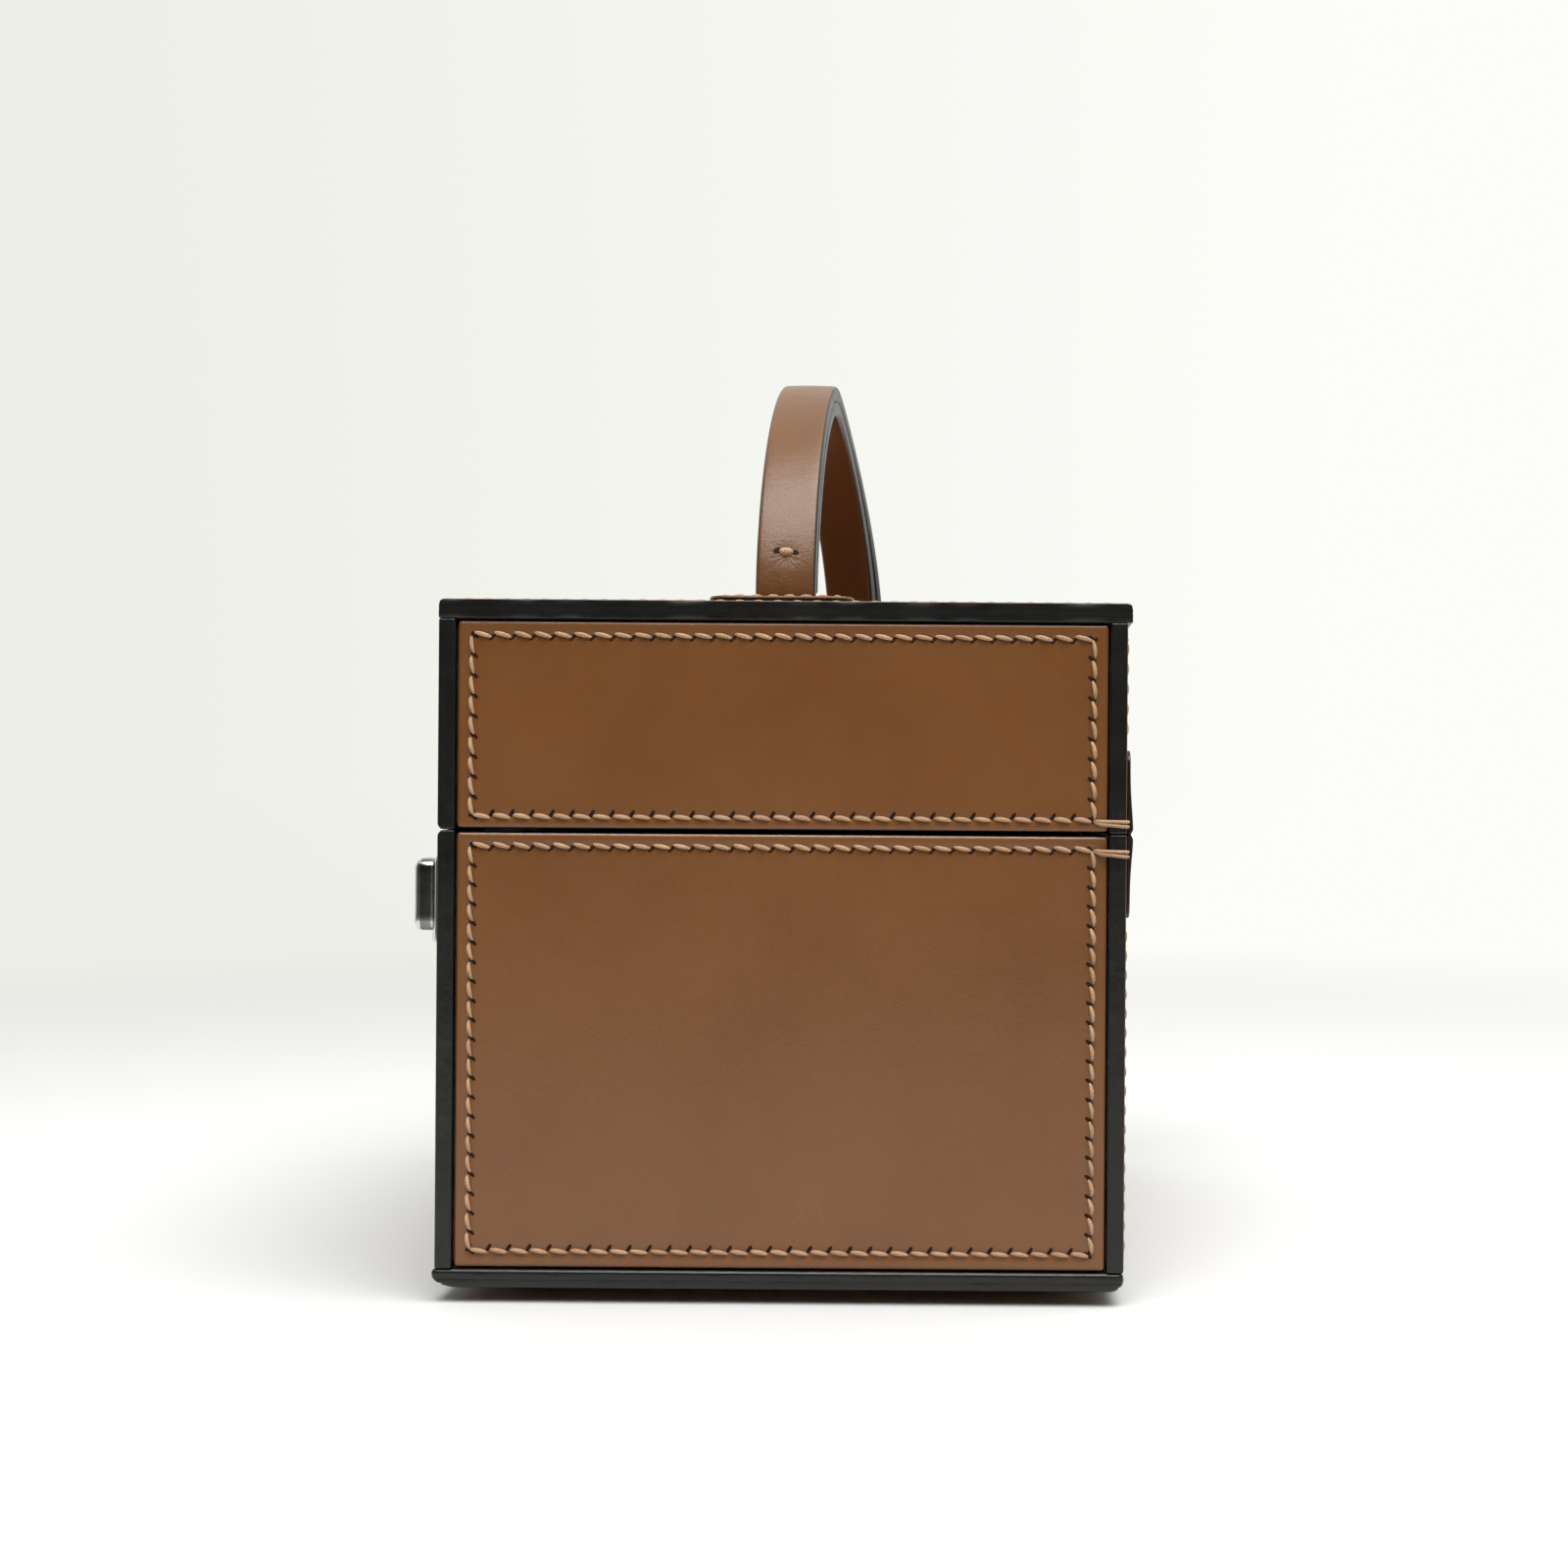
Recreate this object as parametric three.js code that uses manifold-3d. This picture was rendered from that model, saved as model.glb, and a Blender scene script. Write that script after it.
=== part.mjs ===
// Box bag: a stiff leather case made of thick panels with painted edges. The lid turns on a leather
// hinge band along the back, two sliding latches sit near the front corners, and a doubled strap
// makes the loop handle. Lengths are in millimetres, angles in degrees.
// X runs along the handle, -Y is the front with the latches, +Y the back, +Z is up.
import * as THREE from 'three';
import { mergeVertices } from 'three/addons/utils/BufferGeometryUtils.js';
import Module from 'manifold-3d';

const wasm = await Module();
wasm.setup();

// Box
const LENGTH = 180; // end to end, along X
const DEPTH = 169; // over the front and back walls, along Y
const BASE_WALL_HEIGHT = 107.45;
const LID_WALL_HEIGHT = 51.75;
const WALL = 4.2; // front and back walls
const END_PANEL = 4.0; // end panels, set between the walls
const END_RECESS = 0.5; // end panels lie this far inside the wall edges
const LID_GAP = 0.3; // seam between lid and base
const SEAM_ROUND = 1.5; // rounding of the wall edges at the seam
const PANEL_CLEAR = 0.3; // end panel to wall and to plate
const PANEL_SEAM_DROP = 0.25; // end panels stop this far short of the wall edge at the seam

// Plates
const BOTTOM_PLATE = 4.7;
const TOP_PLATE = 4.8;
const PLATE_ROUND = 1.4; // long edges, front and back
const PLATE_CORNER = 2; // upright corners
const BOTTOM_FRONT_ROUND = 2.8; // lower front edge
const BOTTOM_FRONT_OVERHANG = 0.85;
const TOP_BACK_OVERHANG = 1.2;

// Feet
const FOOT_HEIGHT = 3.7;
const FOOT_RADIUS = 6.5;
const FOOT_CHAMFER = 0.8;
const FOOT_INSET = 20; // foot centre to the box edges

// Hinge band
const HINGE_BAND = 1.0; // leather thickness
const HINGE_LEAF_HEIGHT = 20.2; // each leaf, from its seam edge
const HINGE_END_INSET = 1;
const HINGE_CORNER = 3;

// Latches
const LATCH_END_INSET = 5; // plate edge to the end of the box
const LATCH_PLATE_WIDTH = 16;
const LATCH_PLATE_HEIGHT = 24.4;
const LATCH_PLATE_THICK = 3.2;
const LATCH_PLATE_CORNER = 2.4;
const LATCH_DROP = 5.6; // seam edge of the base to the plate top
const KNOB_WIDTH = 10;
const KNOB_HEIGHT = 18;
const KNOB_THICK = 4.2;
const KNOB_CORNER = 1.5;
const KNOB_TOP_MARGIN = 1.7; // plate top to knob top with the latch shut
const KNOB_TRAVEL = 3;
const KNOB_CLEAR = 0.3;
const POST_WIDTH = 4;
const POST_HEIGHT = 6;
const POST_CLEAR = 0.4;
const POST_SHORT = 0.6; // the post stops this far inside the wall's inner face
const CATCH_WIDTH = 12;
const CATCH_THICK = 1.6;
const CATCH_REACH_UP = 12;
const CATCH_REACH_DOWN = 12;
const CATCH_CLEAR = 0.8; // tongue to the base wall

// Handle
const PATCH_LENGTH = 30; // along X
const PATCH_WIDTH = 36;
const PATCH_THICK = 1.8;
const PATCH_CORNER = 5;
const PATCH_END_INSET = 5.5;
const PATCH_OFFSET = -1.6; // off the middle of the box, along Y
const STRAP_WIDTH = 15;
const STRAP_LAYER = 4.2; // each of the two layers
const LAYER_GAP = 0.3;
const STRAP_FOOT_INSET = 10; // end of the box to the outer face of the strap's foot
const HANDLE_RISE = 68.5; // patch top to the strap's outer face at the middle
const ARCH_POWER = 1.72; // 2 is an ellipse
const GRIP_START = 1.5; // the inner layer begins this far above the patch
const STRAP_SEAT = 0.3;
const HANDLE_SKEW = -1.7; // the loop stands this much askew
const ARCH_STEPS = 56;
const HANDLE_OFFSET = 1.6; // the loop stands this far off the middle, along Y

const COLORS = {
  panel: { color: 0x7a4d2e, roughness: 0.5, metalness: 0 },
  edge: { color: 0x1d1b19, roughness: 0.4, metalness: 0 },
  strap: { color: 0x8a5a38, roughness: 0.45, metalness: 0 },
  metal: { color: 0xcfd0cc, roughness: 0.15, metalness: 1 },
  foot: { color: 0x161514, roughness: 0.6, metalness: 0 },
};

function paint(name) {
  return new THREE.MeshStandardMaterial(COLORS[name]);
}

function piece(name, geometry, color, place = [0, 0, 0]) {
  const mesh = new THREE.Mesh(geometry, paint(color));
  mesh.name = name;
  mesh.position.set(...place);
  return mesh;
}

// Rectangle with its own radius at each corner, in the order low-low, high-low, high-high, low-high.
function roundedRectangle(x0, y0, x1, y1, radii) {
  const shape = new THREE.Shape();
  const corners = [[x0, y0, 180], [x1, y0, 270], [x1, y1, 0], [x0, y1, 90]];
  const steps = 5;
  let first = true;
  corners.forEach(([x, y, startDegrees], index) => {
    const radius = radii[index];
    const cx = x + (x === x0 ? radius : -radius);
    const cy = y + (y === y0 ? radius : -radius);
    const count = radius > 0 ? steps : 0;
    for (let k = 0; k <= count; k += 1) {
      const angle = THREE.MathUtils.degToRad(startDegrees + (count ? (90 * k) / count : 0));
      const px = cx + radius * Math.cos(angle);
      const py = cy + radius * Math.sin(angle);
      if (first) shape.moveTo(px, py);
      else shape.lineTo(px, py);
      first = false;
    }
  });
  shape.closePath();
  return shape;
}

// A profile drawn in (Y, Z) and carried along X, centred on X = 0.
function alongX(shape, length) {
  const geometry = new THREE.ExtrudeGeometry(shape, { depth: length, bevelEnabled: false });
  geometry.translate(0, 0, -length / 2);
  geometry.rotateY(Math.PI / 2);
  geometry.rotateX(Math.PI / 2);
  return geometry;
}

// A profile drawn in (X, Z) and carried along Y, centred on Y = 0.
function alongY(shape, depth) {
  const geometry = new THREE.ExtrudeGeometry(shape, { depth, bevelEnabled: false });
  geometry.translate(0, 0, -depth / 2);
  geometry.rotateX(Math.PI / 2);
  return geometry;
}

// A profile drawn in (X, Y) and carried up Z from zero.
function alongZ(shape, height) {
  return new THREE.ExtrudeGeometry(shape, { depth: height, bevelEnabled: false });
}

function toManifold(geometry) {
  const plain = geometry.index ? geometry.toNonIndexed() : geometry.clone();
  plain.deleteAttribute('normal');
  plain.deleteAttribute('uv');
  const merged = mergeVertices(plain, 1e-4);
  return new wasm.Manifold(new wasm.Mesh({
    numProp: 3,
    vertProperties: new Float32Array(merged.attributes.position.array),
    triVerts: new Uint32Array(merged.index.array),
  }));
}

function fromManifold(solid) {
  const mesh = solid.getMesh();
  const geometry = new THREE.BufferGeometry();
  const positions = new Float32Array((mesh.vertProperties.length / mesh.numProp) * 3);
  for (let i = 0; i < positions.length / 3; i += 1) {
    for (let k = 0; k < 3; k += 1) positions[3 * i + k] = mesh.vertProperties[mesh.numProp * i + k];
  }
  geometry.setAttribute('position', new THREE.BufferAttribute(positions, 3));
  geometry.setIndex(new THREE.BufferAttribute(new Uint32Array(mesh.triVerts), 1));
  geometry.computeVertexNormals();
  return geometry;
}

// Heights up the box
const bottomPlateZ = FOOT_HEIGHT;
const baseWallZ = bottomPlateZ + BOTTOM_PLATE;
const baseSeamZ = baseWallZ + BASE_WALL_HEIGHT;
const seamZ = baseSeamZ + LID_GAP / 2;
const lidSeamZ = baseSeamZ + LID_GAP;
const topPlateZ = lidSeamZ + LID_WALL_HEIGHT;
const roofZ = topPlateZ + TOP_PLATE;

// The box is set back so that the latches and the hinge band reach equally far from the origin.
const latchReach = LATCH_PLATE_THICK + KNOB_CLEAR + KNOB_THICK;
const backReach = Math.max(HINGE_BAND, TOP_BACK_OVERHANG);
const shiftY = (latchReach - backReach) / 2;
const frontY = shiftY - DEPTH / 2;
const backY = shiftY + DEPTH / 2;

const part = new THREE.Group();
const base = new THREE.Group();
const lid = new THREE.Group();
part.add(base, lid);

// Plates: a profile carried along X, cut to a plan with rounded corners.
function plate(y0, y1, z0, z1, profileRadii) {
  const plan = alongZ(roundedRectangle(
    -LENGTH / 2, y0, LENGTH / 2, y1, Array(4).fill(PLATE_CORNER),
  ), z1 - z0 + 2);
  plan.translate(0, 0, z0 - 1);
  const bar = alongX(roundedRectangle(y0, z0, y1, z1, profileRadii), LENGTH + 2);
  return fromManifold(toManifold(bar).intersect(toManifold(plan)));
}

base.add(piece('base_bottom', plate(
  frontY - BOTTOM_FRONT_OVERHANG, backY, bottomPlateZ, baseWallZ,
  [BOTTOM_FRONT_ROUND, PLATE_ROUND, 0, PLATE_ROUND / 2],
), 'panel'));
lid.add(piece('lid_top', plate(
  frontY, backY + TOP_BACK_OVERHANG, topPlateZ, roofZ,
  [0, PLATE_ROUND / 2, PLATE_ROUND, PLATE_ROUND],
), 'panel'));

// Front and back walls
const postX = LENGTH / 2 - LATCH_END_INSET - LATCH_PLATE_WIDTH / 2;
const latchPlateTop = baseSeamZ - LATCH_DROP;
const knobZ = latchPlateTop - KNOB_TOP_MARGIN - KNOB_HEIGHT / 2;
const slotHeight = POST_HEIGHT + KNOB_TRAVEL + 2 * POST_CLEAR;
const slotZ = knobZ - KNOB_TRAVEL / 2;

function slotCutter(x) {
  const box = new THREE.BoxGeometry(
    POST_WIDTH + 2 * POST_CLEAR,
    2 * (WALL + LATCH_PLATE_THICK) + 4,
    slotHeight,
  );
  box.translate(x, frontY, slotZ);
  return toManifold(box);
}

const sides = [['near', 1], ['far', -1]];
let frontWall = toManifold(alongX(roundedRectangle(
  frontY, baseWallZ, frontY + WALL, baseSeamZ, [0, 0, 0, SEAM_ROUND],
), LENGTH));
sides.forEach(([, sign]) => {
  frontWall = frontWall.subtract(slotCutter(sign * postX));
});
base.add(piece('base_front', fromManifold(frontWall), 'panel'));
base.add(piece('base_back', alongX(roundedRectangle(
  backY - WALL, baseWallZ, backY, baseSeamZ, [0, 0, 0, 0],
), LENGTH), 'panel'));
lid.add(piece('lid_front', alongX(roundedRectangle(
  frontY, lidSeamZ, frontY + WALL, topPlateZ, [SEAM_ROUND, 0, 0, 0],
), LENGTH), 'panel'));
lid.add(piece('lid_back', alongX(roundedRectangle(
  backY - WALL, lidSeamZ, backY, topPlateZ, [0, 0, 0, 0],
), LENGTH), 'panel'));

// End panels
const endY0 = frontY + WALL + PANEL_CLEAR;
const endY1 = backY - WALL - PANEL_CLEAR;
const endX = LENGTH / 2 - END_RECESS - END_PANEL / 2;
const endRadii = [0.6, 0.6, 0.6, 0.6];
sides.forEach(([side, sign]) => {
  base.add(piece(`base_end_${side}`, alongX(roundedRectangle(
    endY0, baseWallZ + PANEL_CLEAR, endY1, baseSeamZ - PANEL_SEAM_DROP, endRadii,
  ), END_PANEL), 'panel', [sign * endX, 0, 0]));
  lid.add(piece(`lid_end_${side}`, alongX(roundedRectangle(
    endY0, lidSeamZ + PANEL_SEAM_DROP, endY1, topPlateZ - PANEL_CLEAR, endRadii,
  ), END_PANEL), 'panel', [sign * endX, 0, 0]));
});

// Feet
const footProfile = [
  new THREE.Vector2(0, 0),
  new THREE.Vector2(FOOT_RADIUS - FOOT_CHAMFER, 0),
  new THREE.Vector2(FOOT_RADIUS, FOOT_CHAMFER),
  new THREE.Vector2(FOOT_RADIUS, FOOT_HEIGHT),
  new THREE.Vector2(0, FOOT_HEIGHT),
];
sides.forEach(([side, sign]) => {
  [['front', frontY + FOOT_INSET], ['back', backY - FOOT_INSET]].forEach(([row, y]) => {
    const foot = new THREE.LatheGeometry(footProfile, 32);
    foot.rotateX(Math.PI / 2);
    base.add(piece(`foot_${row}_${side}`, foot, 'foot', [sign * (LENGTH / 2 - FOOT_INSET), y, 0]));
  });
});

// Hinge band in two leaves; the hinge line runs in its outer face at the seam.
const leafLength = LENGTH - 2 * HINGE_END_INSET;
const lowerLeaf = alongY(roundedRectangle(
  -leafLength / 2, baseSeamZ - HINGE_LEAF_HEIGHT, leafLength / 2, baseSeamZ,
  [HINGE_CORNER, HINGE_CORNER, 0, 0],
), HINGE_BAND);
const upperLeaf = alongY(roundedRectangle(
  -leafLength / 2, lidSeamZ, leafLength / 2, lidSeamZ + HINGE_LEAF_HEIGHT,
  [0, 0, HINGE_CORNER, HINGE_CORNER],
), HINGE_BAND);
base.add(piece('hinge_leaf_lower', lowerLeaf, 'edge', [0, backY + HINGE_BAND / 2, 0]));
lid.add(piece('hinge_leaf_upper', upperLeaf, 'edge', [0, backY + HINGE_BAND / 2, 0]));

// Latches: a slotted plate, a sliding knob with its post, and a tongue inside the lid's front wall.
const plateCorners = Array(4).fill(LATCH_PLATE_CORNER);
const knobCorners = Array(4).fill(KNOB_CORNER);
const plateY = frontY - LATCH_PLATE_THICK / 2;
const knobY = frontY - LATCH_PLATE_THICK - KNOB_CLEAR - KNOB_THICK / 2;
const postDepth = KNOB_CLEAR + LATCH_PLATE_THICK + WALL - POST_SHORT;
sides.forEach(([side, sign]) => {
  const x = sign * postX;
  const latchPlate = alongY(roundedRectangle(
    x - LATCH_PLATE_WIDTH / 2, latchPlateTop - LATCH_PLATE_HEIGHT,
    x + LATCH_PLATE_WIDTH / 2, latchPlateTop, plateCorners,
  ), LATCH_PLATE_THICK);
  latchPlate.translate(0, plateY, 0);
  base.add(piece(`latch_plate_${side}`,
    fromManifold(toManifold(latchPlate).subtract(slotCutter(x))), 'metal'));

  const head = alongY(roundedRectangle(
    -KNOB_WIDTH / 2, -KNOB_HEIGHT / 2, KNOB_WIDTH / 2, KNOB_HEIGHT / 2, knobCorners,
  ), KNOB_THICK);
  const post = new THREE.BoxGeometry(POST_WIDTH, postDepth + KNOB_THICK / 2, POST_HEIGHT);
  post.translate(0, (postDepth + KNOB_THICK / 2) / 2, 0);
  base.add(piece(`latch_knob_${side}`,
    fromManifold(toManifold(head).add(toManifold(post))), 'metal', [x, knobY, knobZ]));

  const tongue = new THREE.Shape();
  const seat = frontY + WALL;
  const far = seat + CATCH_CLEAR + CATCH_THICK;
  [
    [seat, lidSeamZ + CATCH_REACH_UP],
    [seat, lidSeamZ + SEAM_ROUND],
    [seat + CATCH_CLEAR, lidSeamZ + SEAM_ROUND],
    [seat + CATCH_CLEAR, baseSeamZ - CATCH_REACH_DOWN],
    [far, baseSeamZ - CATCH_REACH_DOWN],
    [far, lidSeamZ + CATCH_REACH_UP],
  ].forEach(([y, z], index) => (index ? tongue.lineTo(y, z) : tongue.moveTo(y, z)));
  tongue.closePath();
  lid.add(piece(`latch_catch_${side}`, alongX(tongue, CATCH_WIDTH), 'metal', [x, 0, 0]));
});

// Patches under the handle's feet
sides.forEach(([side, sign]) => {
  const patch = alongZ(roundedRectangle(
    -PATCH_LENGTH / 2, -PATCH_WIDTH / 2, PATCH_LENGTH / 2, PATCH_WIDTH / 2,
    Array(4).fill(PATCH_CORNER),
  ), PATCH_THICK);
  const x = sign * (LENGTH / 2 - PATCH_END_INSET - PATCH_LENGTH / 2);
  lid.add(piece(`handle_patch_${side}`, patch, 'strap', [x, shiftY + PATCH_OFFSET, roofZ]));
});

// Handle: the layers share one arch, |x/a|^n + |z/b|^n = 1, and lie either side of it.
const archA = LENGTH / 2 - STRAP_FOOT_INSET - STRAP_LAYER - LAYER_GAP / 2;
const archB = HANDLE_RISE - STRAP_LAYER - LAYER_GAP / 2;

function archPoint(turn) {
  const c = Math.cos(turn);
  const s = Math.sin(turn);
  return new THREE.Vector2(
    archA * Math.sign(c) * Math.abs(c) ** (2 / ARCH_POWER),
    archB * Math.abs(s) ** (2 / ARCH_POWER),
  );
}

// One layer between two offsets from the arch, cut level at a height above the patch.
function archLayer(inner, outer, startHeight) {
  const lift = Math.asin(Math.min(1, (startHeight / archB) ** (ARCH_POWER / 2)));
  const turns = [];
  for (let k = 0; k <= ARCH_STEPS; k += 1) turns.push(lift + ((Math.PI - 2 * lift) * k) / ARCH_STEPS);
  const frames = turns.map((turn, k) => {
    const at = archPoint(turn);
    const along = archPoint(Math.min(turn + 1e-3, Math.PI)).sub(archPoint(Math.max(turn - 1e-3, 0)));
    along.normalize();
    const end = k === 0 || k === ARCH_STEPS;
    const out = end ? new THREE.Vector2(k ? -1 : 1, 0) : new THREE.Vector2(along.y, -along.x);
    return { at, out };
  });
  const outline = frames.map(({ at, out }) => at.clone().addScaledVector(out, outer));
  frames.reverse().forEach(({ at, out }) => outline.push(at.clone().addScaledVector(out, inner)));
  return new THREE.Shape(outline);
}

const handle = new THREE.Group();
handle.position.set(0, shiftY + HANDLE_OFFSET, roofZ + PATCH_THICK);
handle.rotation.z = THREE.MathUtils.degToRad(HANDLE_SKEW);
lid.add(handle);
const strapShape = archLayer(LAYER_GAP / 2, LAYER_GAP / 2 + STRAP_LAYER, STRAP_SEAT);
const gripShape = archLayer(-LAYER_GAP / 2 - STRAP_LAYER, -LAYER_GAP / 2, GRIP_START);
handle.add(piece('handle_strap', alongY(strapShape, STRAP_WIDTH), 'strap'));
handle.add(piece('handle_grip', alongY(gripShape, STRAP_WIDTH), 'strap'));

export default part;
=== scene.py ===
"""Box bag: stiff leather panels with painted edges, saddle stitching, latches and a strap loop.

Lengths are in millimetres here and become metres as each mesh is stored. X runs along the handle,
-Y is the front with the latches, +Y the back with the hinge band, +Z is up.
"""
import math

import bpy
import numpy as np
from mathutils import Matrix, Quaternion, Vector


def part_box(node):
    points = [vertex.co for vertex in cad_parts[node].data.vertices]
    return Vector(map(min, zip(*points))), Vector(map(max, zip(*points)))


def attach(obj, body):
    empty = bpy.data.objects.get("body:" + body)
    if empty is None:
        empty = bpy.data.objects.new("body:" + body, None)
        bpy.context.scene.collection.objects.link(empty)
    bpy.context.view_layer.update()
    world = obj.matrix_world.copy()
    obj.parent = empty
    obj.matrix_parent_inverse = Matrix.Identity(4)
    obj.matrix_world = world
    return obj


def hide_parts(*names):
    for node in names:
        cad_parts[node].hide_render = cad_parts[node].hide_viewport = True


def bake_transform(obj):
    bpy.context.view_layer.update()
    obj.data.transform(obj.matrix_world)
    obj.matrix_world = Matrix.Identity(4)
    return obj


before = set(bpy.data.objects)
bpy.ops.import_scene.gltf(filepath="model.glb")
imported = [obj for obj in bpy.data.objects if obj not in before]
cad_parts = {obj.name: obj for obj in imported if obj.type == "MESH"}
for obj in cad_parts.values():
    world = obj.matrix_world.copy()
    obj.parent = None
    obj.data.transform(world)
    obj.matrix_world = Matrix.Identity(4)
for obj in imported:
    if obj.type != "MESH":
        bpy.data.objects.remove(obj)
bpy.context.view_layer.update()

MM = 0.001
PITCH = 4.85  # stitch to stitch
ROW_INSET = 3.8  # panel edge to stitch row
SEAM_INSETS = {  # panel edge to stitch row: top, bottom, left, right
    "lid_end": (3.7, 2.9, 3.8, 3.8),
    "base_end": (3.4, 4.05, 3.8, 3.8),
}
EVEN_INSETS = (ROW_INSET,) * 4
SEAM_SWELL = 0.11  # painted edges of the walls stand this much into the seam
THREAD = 0.56  # half the thread's width
EDGE_ROUND = 0.55  # rounding of a wall's edges
END_ROUND = 1.1  # rounding of an end panel's edges
PITCHES_CUT = 4  # mesh rows per stitch
SEAM_LINE = 1.6  # painted margin of a panel's inner face
SOLE_LINE = 2.0  # painted margin of the bottom plate's outer face
ROUNDED_EDGES = {  # long edges of the slabs: front or back, low or high, reach along Y and along Z
    "base_bottom": (("front", "low", 7.0, 3.1), ("back", "low", 3.4, 2.8)),
    "lid_top": (("front", "high", 1.3, 1.3), ("back", "high", 1.3, 1.3)),
    "lid_front": (("front", "low", 1.5, 1.5),),
    "base_front": (("front", "high", 1.5, 1.5),),
}
TACK_HEIGHT = 10.8  # short stitch in each leg of the strap, above the patch
PINCH_REACH = 4.2  # how far the leather is drawn in round that stitch


def span(node):
    """Lowest and highest corner of a CAD node, in millimetres."""
    low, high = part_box(node)
    return np.array(low) / MM, np.array(high) / MM


def pinch_point(sign):
    """Where the short stitch draws in a leg of the strap: its place on the outer face, in millimetres."""
    low, high = span("handle_strap")
    patch_top = span("handle_patch_near")[1][2]
    return np.array([sign * (high[0] - 1.8), (low[1] + high[1]) / 2 - 2.4 * sign, patch_top + TACK_HEIGHT])


# Materials


class Paint:
    """A small writer for the nodes of a material or world: each call adds a node and wires its inputs."""

    def __init__(self, name, kept_in=bpy.data.materials, shader="Principled BSDF"):
        self.holder = kept_in.new(name)
        self.holder.use_nodes = True
        self.tree = self.holder.node_tree
        self.shader = self.tree.nodes[shader]

    def add(self, kind, **settings):
        node = self.tree.nodes.new(kind)
        for key, value in settings.items():
            setattr(node, key, value)
        return node

    def wire(self, source, target):
        self.tree.links.new(source, target)

    def put(self, value, socket):
        """Sets a number or a colour on a socket, or wires another node's output to it."""
        if isinstance(value, (int, float)):
            socket.default_value = value
        elif isinstance(value, tuple):
            socket.default_value = (*value, 1.0)
        else:
            self.wire(value, socket)

    def at(self, socket="Object"):
        return self.add("ShaderNodeTexCoord").outputs[socket]

    def noise(self, where, scale, detail=3.0, rough=0.55, distortion=0.0):
        node = self.add("ShaderNodeTexNoise")
        node.inputs["Scale"].default_value = scale
        node.inputs["Detail"].default_value = detail
        node.inputs["Roughness"].default_value = rough
        node.inputs["Distortion"].default_value = distortion
        self.wire(where, node.inputs["Vector"])
        return node.outputs["Fac"]

    def stretched(self, where, scale):
        """Coordinates multiplied by one factor along each axis."""
        node = self.add("ShaderNodeMapping")
        node.inputs["Scale"].default_value = scale
        self.wire(where, node.inputs["Vector"])
        return node.outputs[0]

    def vector(self, operation, where):
        node = self.add("ShaderNodeVectorMath", operation=operation)
        self.wire(where, node.inputs[0])
        return node

    def parts(self, where):
        node = self.add("ShaderNodeSeparateXYZ")
        self.wire(where, node.inputs[0])
        return node.outputs

    def cells(self, where, scale):
        node = self.add("ShaderNodeTexVoronoi")
        node.inputs["Scale"].default_value = scale
        self.wire(where, node.inputs["Vector"])
        return node.outputs["Distance"]

    def math(self, operation, first, second=0.0):
        node = self.add("ShaderNodeMath", operation=operation)
        self.put(first, node.inputs[0])
        self.put(second, node.inputs[1])
        return node.outputs[0]

    def ramp(self, fac, stops):
        node = self.add("ShaderNodeValToRGB")
        ramp = node.color_ramp
        while len(ramp.elements) < len(stops):
            ramp.elements.new(0.5)
        for element, (place, colour) in zip(ramp.elements, stops):
            element.position = place
            element.color = (*colour, 1.0)
        self.wire(fac, node.inputs["Fac"])
        return node.outputs["Color"]

    def blend(self, fac, first, second):
        node = self.add("ShaderNodeMix", data_type="RGBA")
        for place, value in ((0, fac), (6, first), (7, second)):
            self.put(value, node.inputs[place])
        return node.outputs[2]

    def spread(self, fac, low, high):
        """A 0 to 1 value stretched to low..high."""
        node = self.add("ShaderNodeMapRange")
        node.inputs["To Min"].default_value = low
        node.inputs["To Max"].default_value = high
        self.wire(fac, node.inputs["Value"])
        return node.outputs[0]

    def bump(self, height, depth, strength=1.0, under=None):
        node = self.add("ShaderNodeBump")
        node.inputs["Strength"].default_value = strength
        node.inputs["Distance"].default_value = depth
        self.wire(height, node.inputs["Height"])
        if under is not None:
            self.wire(under, node.inputs["Normal"])
        return node.outputs["Normal"]

    def finish(self, colour=None, rough=None, normal=None, **values):
        for socket, value in (("Base Color", colour), ("Roughness", rough), ("Normal", normal)):
            if value is not None:
                self.put(value, self.shader.inputs[socket])
        for key, value in values.items():
            self.shader.inputs[key.replace("_", " ")].default_value = value
        return self.holder


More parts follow.
